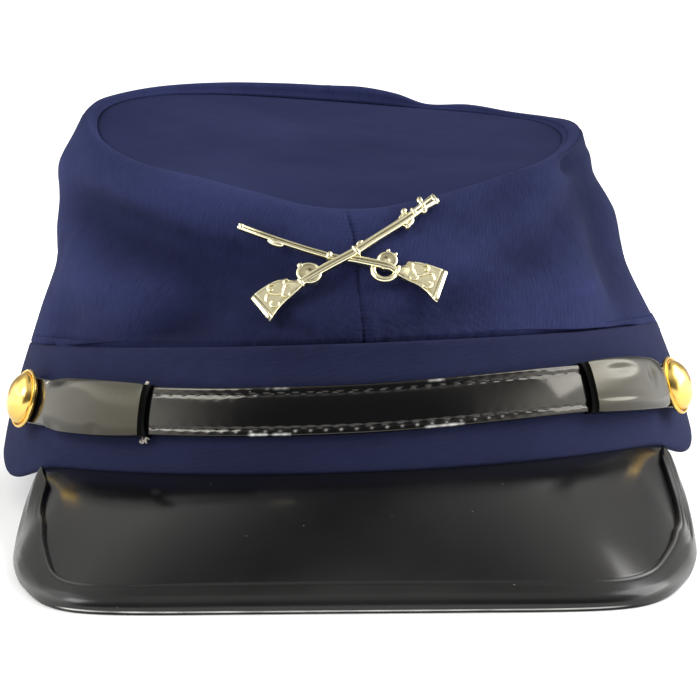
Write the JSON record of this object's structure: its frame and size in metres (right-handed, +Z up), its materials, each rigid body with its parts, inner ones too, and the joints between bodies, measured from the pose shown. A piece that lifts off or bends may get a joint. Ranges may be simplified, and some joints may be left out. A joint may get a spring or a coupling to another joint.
{
  "type": "forage cap",
  "caption": "Blue cloth military forage cap with a forward-leaning crown, band, glossy black peak, chin strap, buttons and crossed-rifles badge.",
  "frame": {"origin": "on the ground, below the centre of the cap's box as it stands on the edge of its peak and the back of its band", "axes": "+Z up, -Y to the front where the peak is, +X to the wearer's left"},
  "size_m": [0.1866, 0.2338, 0.1051],
  "materials": {
    "crown_cloth": "navy cotton twill, matt",
    "band_cloth": "navy cotton twill, matt",
    "peak_vinyl": "glossy black patent vinyl",
    "strap_vinyl": "glossy black patent vinyl, stitched",
    "button_brass": "polished yellow brass",
    "badge_metal": "pale gilt cast metal"
  },
  "bodies": {
    "root": {"band": "band_cloth", "crown_side": "crown_cloth", "crown_top": "crown_cloth", "peak": "peak_vinyl", "peak_binding": "peak_vinyl", "chin_strap": "strap_vinyl", "strap_keeper_left": "strap_vinyl", "strap_keeper_right": "strap_vinyl", "button_left": "button_brass", "button_right": "button_brass", "crossed_rifles_badge": "badge_metal"}
  },
  "joints": []
}
